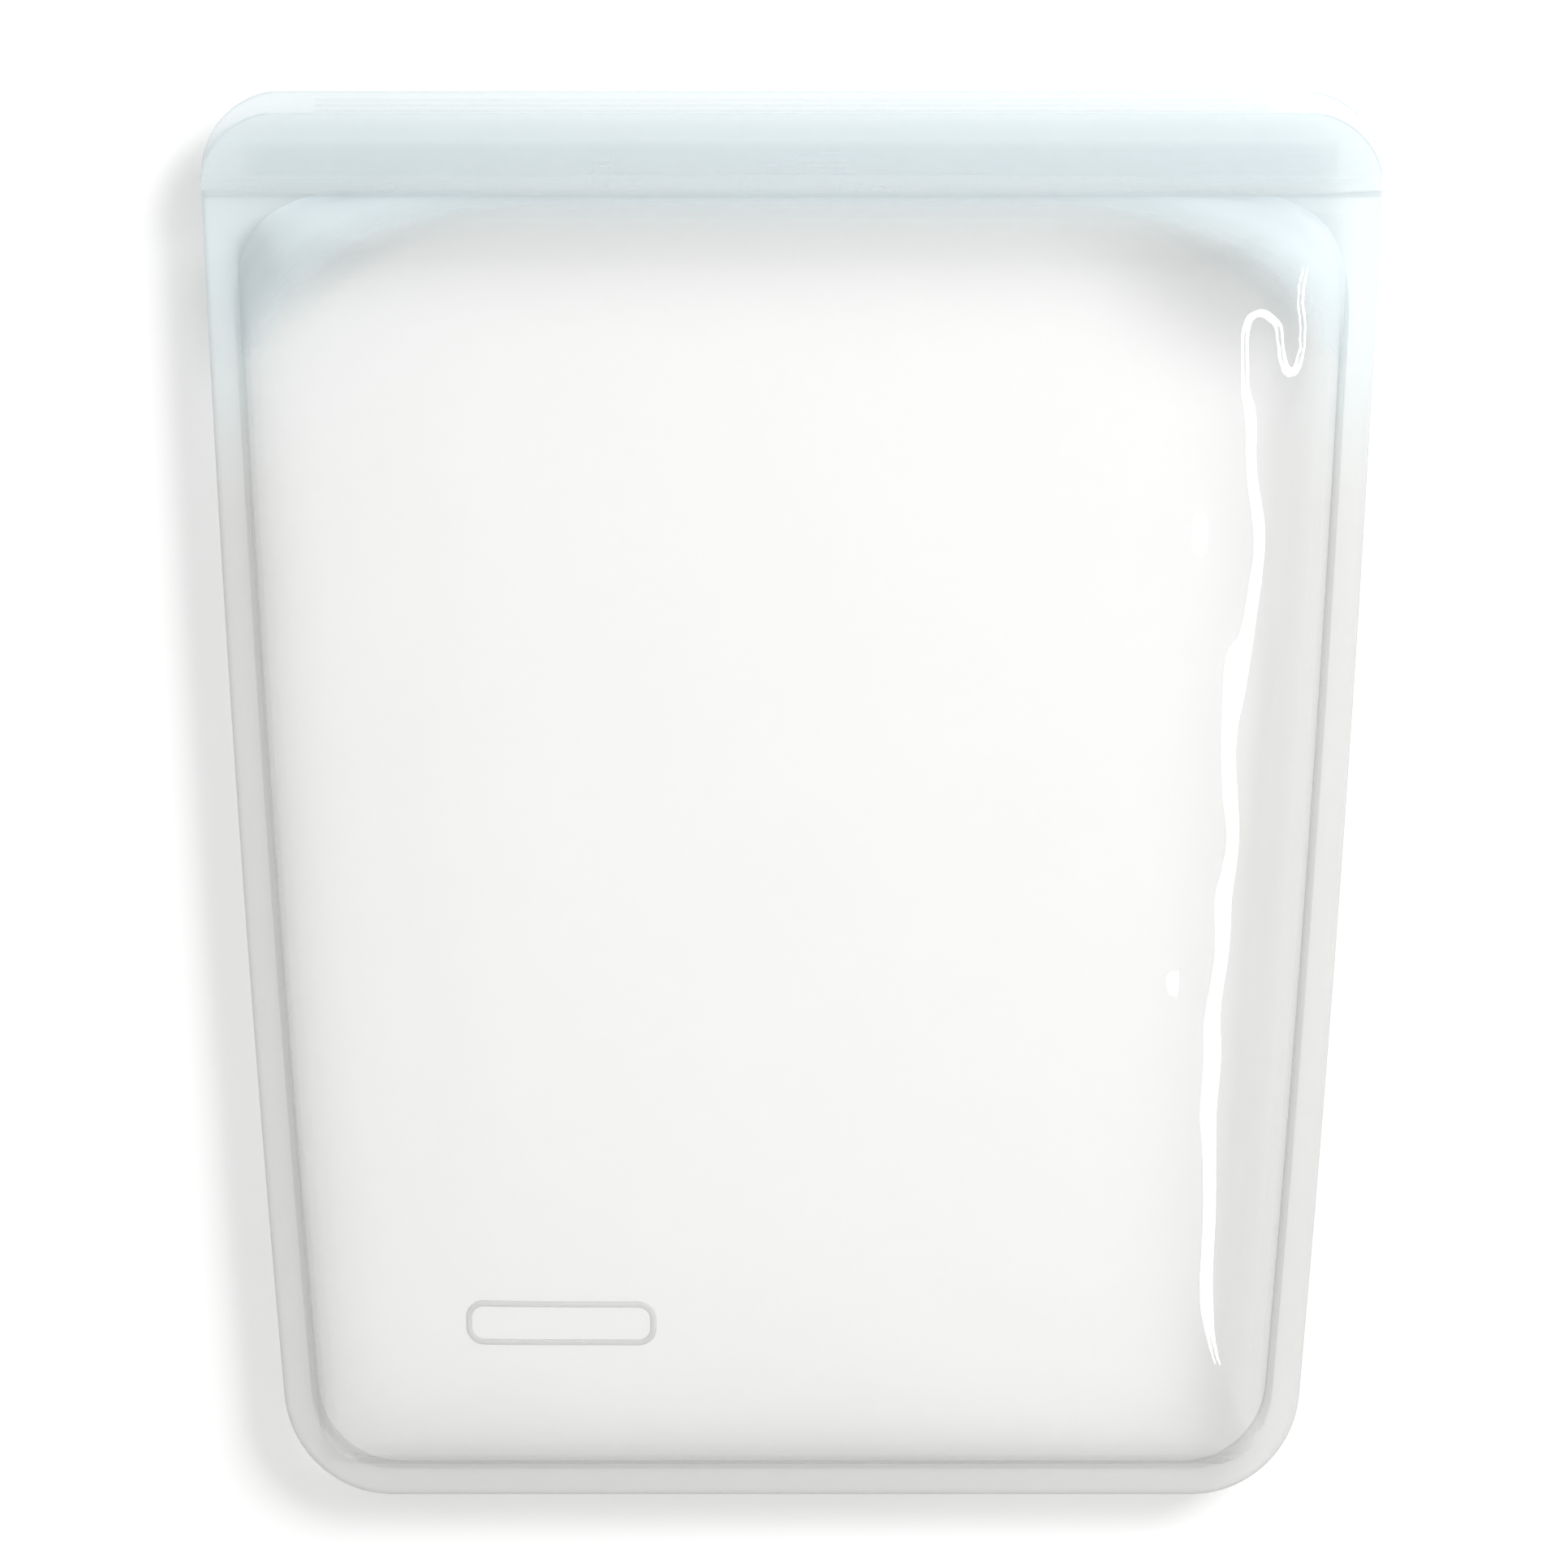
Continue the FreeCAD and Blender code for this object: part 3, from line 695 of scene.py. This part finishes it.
class BAG_OT_rim(bpy.types.Operator):
    """The flat welded rim down both sides and across the base, widening into a web at each seam end"""

    bl_idname = "bag.rim"
    bl_label = "Rim"

    def execute(self, context):
        sizes = context.scene.bag_sizes
        outer, window = outer_outline(sizes), window_outline(sizes, 1.3 * MM)
        right = self.right_side(sizes, outer, window)
        left = [((-a[0], a[1]), (-b[0], b[1])) for a, b in reversed(right)]
        stations = right + left[1:]
        half = (RIM_BOX[1].z - RIM_BOX[0].z) / 2
        profile = self.profile(half)
        rings = []
        for outside, inside in stations:
            outside, inside = np.array(outside), np.array(inside)
            width = np.linalg.norm(inside - outside)
            ring = []
            for inward, height in profile:
                share = min(inward / width, 1) if inward >= 0 else 1 + inward / width
                spot = outside + (inside - outside) * share
                ring.append((spot[0], spot[1], RIM_HEIGHT + height))
            rings.append(ring)
        piece = tube("rim", rings, closed=False)
        set_even_milk(piece, RIM_MILK)
        dress(piece, "matte_silicone")
        hide_cuts(piece, WINDOW_TOP)
        self.hide_web_edge(piece, window)
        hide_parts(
            "base_rim", "left_base_corner", "right_base_corner", "left_side_rim",
            "right_side_rim", "left_corner_web", "right_corner_web",
        )
        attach(piece, "pouch")
        return {"FINISHED"}

    @staticmethod
    def right_side(sizes, outer, window):
        """Pairs of an outer and an inner point, from the right seam end to the middle of the base."""
        pairs = []
        upper, lower = window.upper, window.lower
        for share in np.linspace(0, 1, 14):
            turn = math.pi / 2 + share * (upper["turn"] - math.pi / 2)
            y = WINDOW_TOP + share * (upper["meets"] - WINDOW_TOP)
            inner = (upper["x"] + upper["r"] * math.cos(turn), upper["y"] + upper["r"] * math.sin(turn))
            pairs.append(((float(outer.half_width(y)), y), inner))
        for y in np.linspace(upper["meets"], lower["meets"], 90)[1:-1]:
            pairs.append(((float(outer.side(y)), y), (float(window.side(y)), y)))
        outer_lower = outer.lower
        for share in np.linspace(0, 1, 22):
            outer_turn = outer_lower["turn"] * (1 - share) - math.pi / 2 * share
            inner_turn = lower["turn"] * (1 - share) - math.pi / 2 * share
            pairs.append((
                (outer_lower["x"] + outer_lower["r"] * math.cos(outer_turn),
                 outer_lower["y"] + outer_lower["r"] * math.sin(outer_turn)),
                (lower["x"] + lower["r"] * math.cos(inner_turn),
                 lower["y"] + lower["r"] * math.sin(inner_turn)),
            ))
        for share in np.linspace(0, 1, 30)[1:]:
            pairs.append((
                (outer_lower["x"] * (1 - share), outer.base), (lower["x"] * (1 - share), window.base),
            ))
        return pairs

    @staticmethod
    def hide_web_edge(piece, window):
        """Gives the webs' inner edge beside the mouth a finish that doesn't show."""
        corner = window.upper
        for face in piece.data.polygons:
            x, y = abs(face.center.x), face.center.y
            beyond = math.hypot(x - corner["x"], y - corner["y"]) - corner["r"]
            if beyond < 0.6 * MM and y > corner["meets"] and abs(face.normal.z) < 0.95:
                face.material_index = 1

    @staticmethod
    def profile(half):
        """The rim's section: distance in from the outer edge, or if negative from the inner, and height."""
        outer_radius, inner_radius = 1.25 * MM, 0.5 * MM
        points = []
        for turn in np.linspace(-math.pi / 2, math.pi / 2, 11):
            lift = half - outer_radius if turn > 0 else outer_radius - half
            if abs(turn) < 1e-6:
                lift = 0
            points.append((outer_radius * (1 - math.cos(turn)), lift + outer_radius * math.sin(turn)))
        for inward in (2.2 * MM, 3.2 * MM):
            points.append((inward, half))
        for turn in np.linspace(math.pi / 2, -math.pi / 2, 7):
            lift = half - inner_radius if turn > 0 else inner_radius - half
            if abs(turn) < 1e-6:
                lift = 0
            inward = -inner_radius * (1 - math.cos(turn)) - 1e-9
            points.append((inward, lift + inner_radius * math.sin(turn)))
        for inward in (3.2 * MM, 2.2 * MM):
            points.append((inward, -half))
        return points


def plate(name, sizes, corner, low, high, floor, ceiling, shares, relief=None, soft=0.62 * MM):
    """A flat lip with round upper corners and a rounded free edge, between two heights."""
    top_outline = Outline(sizes, high, -high, corner, sizes.base_corner, 0)
    rows = top_outline.rows(low, high, 0.7 * MM, arc_steps=18)
    rounding = high - soft * (1 - np.cos(np.linspace(0, math.pi / 2, 8)))
    rows = np.unique(np.round(np.concatenate([rows, rounding]), 7))
    rows = rows[rows >= low - 1e-9]
    half = (ceiling - floor) / 2
    middle = (ceiling + floor) / 2
    points = sheet_grid(top_outline, rows, shares, lambda x, y: np.full_like(x, middle))
    x, y = points[..., 0], points[..., 1]
    depth = top_outline.depth(x, y)
    thickness = half * np.sqrt(np.maximum(1 - (1 - np.minimum(depth / soft, 1)) ** 2, 0))
    outside, inside = points.copy(), points.copy()
    outside[..., 2] += thickness
    inside[..., 2] -= thickness
    if relief:
        outside[..., 2] += relief(x, y) * np.minimum(depth / (2 * MM), 1)
    return shell(name, outside, inside)


def free_end_shares(count):
    """Shares from 0 to 1, very close together at 1, where the lip's end is rounded."""
    even = np.linspace(0, 1, count)
    return 1 - (1 - even) ** 1.8


class BAG_OT_front_lip(bpy.types.Operator):
    """The front of the mouth: the band over the seal and its free lip, in two halves"""

    bl_idname = "bag.front_lip"
    bl_label = "Front lip"

    def execute(self, context):
        sizes = context.scene.bag_sizes
        margin, ramp = 1.9 * MM, 0.9 * MM
        seal_low, seal_high = TONGUE_BOX[0].y - margin, TONGUE_BOX[1].y + margin

        def relief(x, y):
            raised = np.clip((y - seal_low) / ramp, 0, 1) * np.clip((seal_high - y) / ramp, 0, 1)
            root = np.clip((FRONT_BAND_BOX[0].y + 1.2 * MM - y) / (1.4 * MM), 0, 1)
            return 0.30 * MM * raised**2 * (3 - 2 * raised) + 0.12 * MM * root

        for side, word in ((-1, "left"), (1, "right")):
            shares = free_end_shares(90) * side
            piece = plate(
                f"front_lip_{word}", sizes, sizes.front_lip_corner, BAND_ROOT,
                FRONT_LIP_BOX[1].y, FRONT_BAND_BOX[0].z, FRONT_BAND_BOX[1].z,
                shares if side > 0 else shares[::-1], relief,
            )
            spots = places(piece)
            set_milk(piece, self.milk(sizes, spots))
            dress(piece, "matte_silicone")
            hide_cuts(piece, BAND_ROOT)
            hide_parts("front_seal_band", "front_lip")
            lift_with_mouth(piece, side)
        return {"FINISHED"}

    @staticmethod
    def milk(sizes, spots):
        """The band fades into the throat at its root, and is milkiest at its corners."""
        root = np.clip((spots[:, 1] - BAND_ROOT) / (3.5 * MM), 0, 1)
        free = np.clip((spots[:, 1] - TONGUE_BOX[1].y) / (2.5 * MM), 0, 1)
        corner = np.clip((np.abs(spots[:, 0]) - 50 * MM) / (50 * MM), 0, 1)
        return np.minimum((0.20 + 0.42 * root + 0.18 * free) * (1 + 0.25 * corner), 1)


class BAG_OT_back_lip(bpy.types.Operator):
    """The back of the mouth: the band under the seal and the longer lip that stands past the front one"""

    bl_idname = "bag.back_lip"
    bl_label = "Back lip"

    def execute(self, context):
        sizes = context.scene.bag_sizes
        shares = free_end_shares(90)
        piece = plate(
            "rear_lip", sizes, sizes.mouth_corner, BAND_ROOT, BACK_LIP_BOX[1].y,
            BACK_BAND_BOX[0].z, BACK_BAND_BOX[1].z, np.concatenate([-shares[:0:-1], shares]),
        )
        past_front = (places(piece)[:, 1] - FRONT_LIP_BOX[1].y) / (1.5 * MM)
        set_milk(piece, BACK_BAND_MILK + (BACK_STRIP_MILK - BACK_BAND_MILK) * np.clip(past_front, 0, 1))
        dress(piece, "matte_silicone")
        hide_cuts(piece, BAND_ROOT)
        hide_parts("back_seal_band", "back_lip")
        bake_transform(piece)
        return {"FINISHED"}


class BAG_OT_seal(bpy.types.Operator):
    """The tongue under the front band, in two halves, and the finish of its channel and the grip ribs"""

    bl_idname = "bag.seal"
    bl_label = "Seal"

    def execute(self, context):
        low, high = TONGUE_BOX
        centre_y, radius = (low.y + high.y) / 2, (high.y - low.y) / 2
        for side, word in ((-1, "left"), (1, "right")):
            rings = []
            for share in np.linspace(0, 1, 60):
                x = side * share * high.x
                close = 1.0 if share < 1 else 0.6
                ring = [(x, centre_y + radius, high.z + 0.1 * MM), (x, centre_y - radius, high.z + 0.1 * MM)]
                for turn in np.linspace(math.pi, 2 * math.pi, 9):
                    ring.append((
                        x, centre_y + close * radius * math.cos(turn),
                        low.z + radius * 0.7 + close * radius * 0.7 * math.sin(turn),
                    ))
                rings.append(ring if side > 0 else ring[::-1])
            piece = tube(f"seal_tongue_{word}", rings, closed=False)
            set_even_milk(piece, TONGUE_MILK)
            dress(piece, "buried_silicone")
            hide_cuts(piece, BAND_ROOT)
            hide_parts("seal_tongue")
            lift_with_mouth(piece, side)
        for node in ("seal_upper_ridge", "seal_lower_ridge", "left_seal_stop", "right_seal_stop"):
            set_even_milk(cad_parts[node], CHANNEL_MILK)
            dress(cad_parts[node], "buried_silicone")
        set_even_milk(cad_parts["grip_ribs"], GRIP_RIB_MILK)
        dress(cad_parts["grip_ribs"], "buried_silicone")
        return {"FINISHED"}


class BAG_OT_label_frame(bpy.types.Operator):
    """The raised line round a blank panel, low on the front"""

    bl_idname = "bag.label_frame"
    bl_label = "Label frame"

    def execute(self, context):
        sizes = context.scene.bag_sizes
        low, high = LABEL_BOX
        centre = (low + high) / 2
        line = 1.1 * MM
        half_x, half_y = (high.x - low.x - line) / 2, (high.y - low.y - line) / 2
        corner = half_y * 0.75
        path = []
        for quadrant, (sx, sy) in enumerate(((1, 1), (-1, 1), (-1, -1), (1, -1))):
            for turn in np.linspace(0, math.pi / 2, 9) + quadrant * math.pi / 2:
                path.append((
                    centre.x + sx * (half_x - corner) + corner * math.cos(turn),
                    centre.y + sy * (half_y - corner) + corner * math.sin(turn),
                    math.cos(turn), math.sin(turn),
                ))
        path = self.even(path)
        rings = []
        for x, y, nx, ny in path:
            ring = []
            for turn in np.linspace(0, 2 * math.pi, 13)[:-1]:
                across, lift = math.cos(turn) * line / 2, math.sin(turn)
                px, py = x + nx * across, y + ny * across
                base = float(front_height(sizes, np.array([px]), np.array([py]))[0])
                ring.append((px, py, base + (0.42 * MM * lift if lift > 0 else 0.25 * MM * lift)))
            rings.append(ring)
        piece = tube("label_outline", rings, closed=True)
        set_even_milk(piece, LABEL_MILK)
        dress(piece, "matte_silicone")
        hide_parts("label_frame")
        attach(piece, "pouch")
        return {"FINISHED"}

    @staticmethod
    def even(path, step=0.5 * MM):
        """The same path with points at least every step along its straight stretches."""
        spread = []
        for start, end in zip(path, path[1:] + path[:1]):
            count = max(1, int(math.hypot(end[0] - start[0], end[1] - start[1]) / step))
            for share in range(count):
                spread.append(tuple(a + (b - a) * share / count for a, b in zip(start, end)))
        return spread


# ---------------------------------------------------------------- stage

class BAG_OT_stage(bpy.types.Operator):
    """The pale floor, the even light, the soft key light, the strip seen in the gloss, and the camera"""

    bl_idname = "bag.stage"
    bl_label = "Stage"

    def execute(self, context):
        scene = context.scene
        settings = scene.bag_stage
        self.floor(scene)
        self.sky(scene, settings)
        key = self.lamp(scene, "key_light", KEY_PLACE, KEY_SIDES, settings.key)
        key.visible_glossy = False
        self.strip(scene, settings)
        self.camera(scene, settings)
        scene.view_settings.view_transform = "Standard"
        scene.cycles.transparent_max_bounces = 20
        return {"FINISHED"}

    @staticmethod
    def floor(scene):
        low = RESTING_HEIGHT - 0.2 * MM
        corners = [(FLOOR_REACH * x, FLOOR_REACH * y, low) for x, y in ((-1, -1), (1, -1), (1, 1), (-1, 1))]
        floor = make_object("floor", corners, [[0, 1, 2, 3]])
        floor.data.materials.append(shared_finish("pale_floor", floor_finish))

    @staticmethod
    def sky(scene, settings):
        world = bpy.data.worlds.new("studio")
        world.use_nodes = True
        light = world.node_tree.nodes["Background"]
        light.inputs["Color"].default_value = (1.0, 1.0, 1.0, 1)
        light.inputs["Strength"].default_value = settings.sky
        scene.world = world

    @staticmethod
    def lamp(scene, name, place, size, power):
        light = bpy.data.lights.new(name, "AREA")
        light.shape = "RECTANGLE"
        light.size, light.size_y = size
        light.energy = power
        lamp = bpy.data.objects.new(name, light)
        lamp.location = place
        lamp.rotation_euler = (Vector((0, 0, 0)) - Vector(place)).to_track_quat("-Z", "Y").to_euler()
        scene.collection.objects.link(lamp)
        return lamp

    def strip(self, scene, settings):
        """A narrow strip low on the right, which only gloss shows."""
        lamp = self.lamp(scene, "strip_light", STRIP_PLACE, STRIP_SIDES, settings.strip)
        lamp.visible_diffuse = False
        lamp.visible_transmission = False
        lamp.visible_camera = False

    @staticmethod
    def camera(scene, settings):
        data = bpy.data.cameras.new("camera")
        data.lens = settings.lens
        camera = bpy.data.objects.new("camera", data)
        distance = settings.view_width / data.sensor_width * settings.lens
        camera.location = (settings.view_across, settings.view_along, RIM_HEIGHT + distance)
        scene.collection.objects.link(camera)
        scene.camera = camera


class BAG_PT_panel(bpy.types.Panel):
    """The bag's sizes, colours and steps"""

    bl_idname = "BAG_PT_panel"
    bl_label = "Silicone bag"
    bl_space_type = "VIEW_3D"
    bl_region_type = "UI"
    bl_category = "Bag"

    def draw(self, context):
        for group in GROUPS:
            box = self.layout.box()
            settings = getattr(context.scene, group)
            for name in settings.bl_rna.properties.keys():
                if name not in ("rna_type", "name"):
                    box.prop(settings, name)
        for step in STEPS:
            self.layout.operator(step.bl_idname)


GROUPS = {"bag_sizes": BagSizes, "bag_finish": BagFinish, "bag_stage": BagStage}
STEPS = (
    BAG_OT_stage, BAG_OT_back_sheet, BAG_OT_front_sheet, BAG_OT_throat, BAG_OT_rim, BAG_OT_front_lip,
    BAG_OT_back_lip, BAG_OT_seal, BAG_OT_label_frame,
)


def register():
    for name, group in GROUPS.items():
        bpy.utils.register_class(group)
        setattr(bpy.types.Scene, name, bpy.props.PointerProperty(type=group))
    for step in STEPS:
        bpy.utils.register_class(step)
    bpy.utils.register_class(BAG_PT_panel)


def unregister():
    bpy.utils.unregister_class(BAG_PT_panel)
    for step in reversed(STEPS):
        bpy.utils.unregister_class(step)
    for name, group in reversed(GROUPS.items()):
        delattr(bpy.types.Scene, name)
        bpy.utils.unregister_class(group)


def main():
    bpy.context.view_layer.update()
    register()
    for step in STEPS:
        group, name = step.bl_idname.split(".")
        getattr(getattr(bpy.ops, group), name)()


if __name__ == "__main__":
    main()
